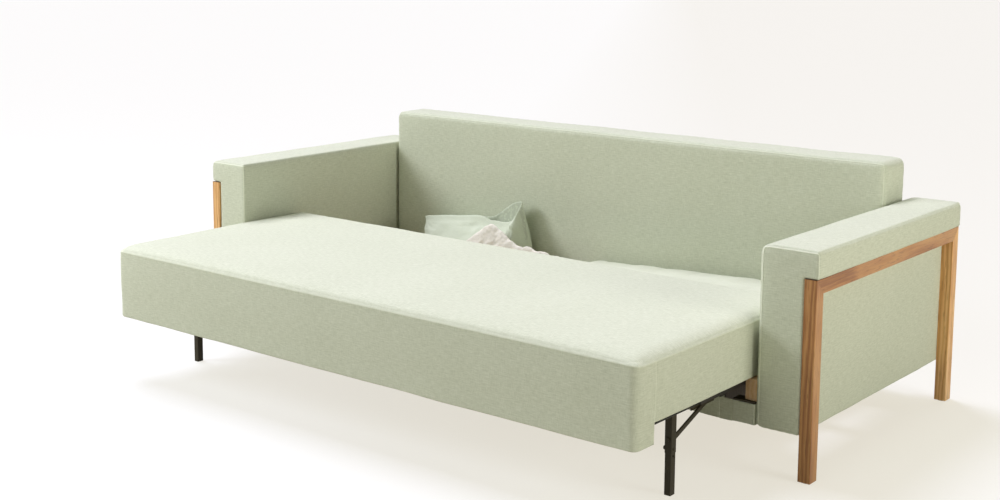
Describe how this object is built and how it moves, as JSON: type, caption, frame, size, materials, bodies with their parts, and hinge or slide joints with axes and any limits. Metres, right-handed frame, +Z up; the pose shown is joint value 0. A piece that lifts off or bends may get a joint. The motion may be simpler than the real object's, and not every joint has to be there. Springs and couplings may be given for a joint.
{
  "type": "sleeper sofa",
  "caption": "Sleeper sofa whose seat slides out on runners and fold-down legs to make a bed, with a bedding box behind the seat.",
  "frame": {"origin": "on the floor, below the middle of the bounding box with the seat pulled out", "axes": "+X along the seat to the right of someone facing the sofa, +Y from the front to the back, +Z up"},
  "size_m": [2.374, 1.497, 0.745],
  "materials": {
    "cover_fabric": "fine woven upholstery cloth in pale sage green",
    "frame_wood": "oiled walnut, straight grain",
    "pine": "planed softwood, unfinished",
    "board": "plain particle board",
    "black_steel": "satin black powder coat",
    "runner_steel": "dark zinc plated steel, lightly greased",
    "fastener_steel": "black oxide",
    "glide_plastic": "matt plastic",
    "pillow_cover": "soft cotton",
    "blanket_cloth": "loose soft weave",
    "quilt_cloth": "smooth cotton"
  },
  "bodies": {
    "base": {"back_core": "board", "back_upholstery": "cover_fabric", "beam_screws": "fastener_steel", "blanket": "blanket_cloth", "box_bearers": "pine", "box_floor": "board", "box_rear_board": "board", "front_panel": "cover_fabric", "front_rail": "black_steel", "left_arm_core": "board", "left_arm_rail": "frame_wood", "left_arm_upholstery": "cover_fabric", "left_box_board": "board", "left_fixed_runner": "runner_steel", "left_front_post": "frame_wood", "left_rear_post": "frame_wood", "left_side_beam": "pine", "leg_flaps": "cover_fabric", "panel_ends": "cover_fabric", "pillow": "pillow_cover", "post_glides": "glide_plastic", "quilt": "quilt_cloth", "right_arm_core": "board", "right_arm_rail": "frame_wood", "right_arm_upholstery": "cover_fabric", "right_box_board": "board", "right_fixed_runner": "runner_steel", "right_front_post": "frame_wood", "right_rear_post": "frame_wood", "right_side_beam": "pine"},
    "middle_runners": {"left_middle_runner": "runner_steel", "right_middle_runner": "runner_steel"},
    "seat": {"apron_rail": "pine", "left_brace_catch": "black_steel", "left_inner_runner": "runner_steel", "left_leg_block": "pine", "left_leg_bracket": "black_steel", "left_leg_pin": "fastener_steel", "left_seat_side_rail": "pine", "right_brace_catch": "black_steel", "right_inner_runner": "runner_steel", "right_leg_block": "pine", "right_leg_bracket": "black_steel", "right_leg_pin": "fastener_steel", "right_seat_side_rail": "pine", "seat_rear_rail": "pine", "seat_slats": "pine", "seat_upholstery": "cover_fabric"},
    "left_leg": {"left_brace_pin": "fastener_steel", "left_leg_bolt": "fastener_steel", "left_leg_insert": "black_steel", "left_leg_tube": "black_steel"},
    "right_leg": {"right_brace_pin": "fastener_steel", "right_leg_bolt": "fastener_steel", "right_leg_insert": "black_steel", "right_leg_tube": "black_steel"},
    "left_brace": {"left_brace": "black_steel"},
    "right_brace": {"right_brace": "black_steel"}
  },
  "joints": [
    {"name": "seat_slide", "type": "slide", "parent": "base", "child": "seat", "axis": [0, 1, 0], "range_m": [0, 0.47], "deforming": ["pillow", "blanket", "quilt", "leg_flaps"]},
    {"name": "runner_slide", "type": "slide", "parent": "base", "child": "middle_runners", "axis": [0, 1, 0], "range_m": [0, 0.235]},
    {"name": "left_leg_fold", "type": "hinge", "parent": "seat", "child": "left_leg", "pos_m": [-0.931, -0.4815, 0.2345], "axis": [1, 0, 0], "range_deg": [0, 90]},
    {"name": "left_brace_fold", "type": "hinge", "parent": "left_leg", "child": "left_brace", "pos_m": [-0.9175, -0.4815, 0.1225], "axis": [1, 0, 0], "range_deg": [-111, 0]},
    {"name": "right_leg_fold", "type": "hinge", "parent": "seat", "child": "right_leg", "pos_m": [0.931, -0.4815, 0.2345], "axis": [1, 0, 0], "range_deg": [0, 90]},
    {"name": "right_brace_fold", "type": "hinge", "parent": "right_leg", "child": "right_brace", "pos_m": [0.9175, -0.4815, 0.1225], "axis": [1, 0, 0], "range_deg": [-111, 0]}
  ],
  "couplings": [
    {"joint": "runner_slide", "follows": "seat_slide", "ratio": 0.5},
    {"joint": "left_leg_fold", "follows": "seat_slide", "rad_per_m": 3.342},
    {"joint": "left_brace_fold", "follows": "seat_slide", "rad_per_m": -4.1218},
    {"joint": "right_leg_fold", "follows": "seat_slide", "rad_per_m": 3.342},
    {"joint": "right_brace_fold", "follows": "seat_slide", "rad_per_m": -4.1218}
  ]
}
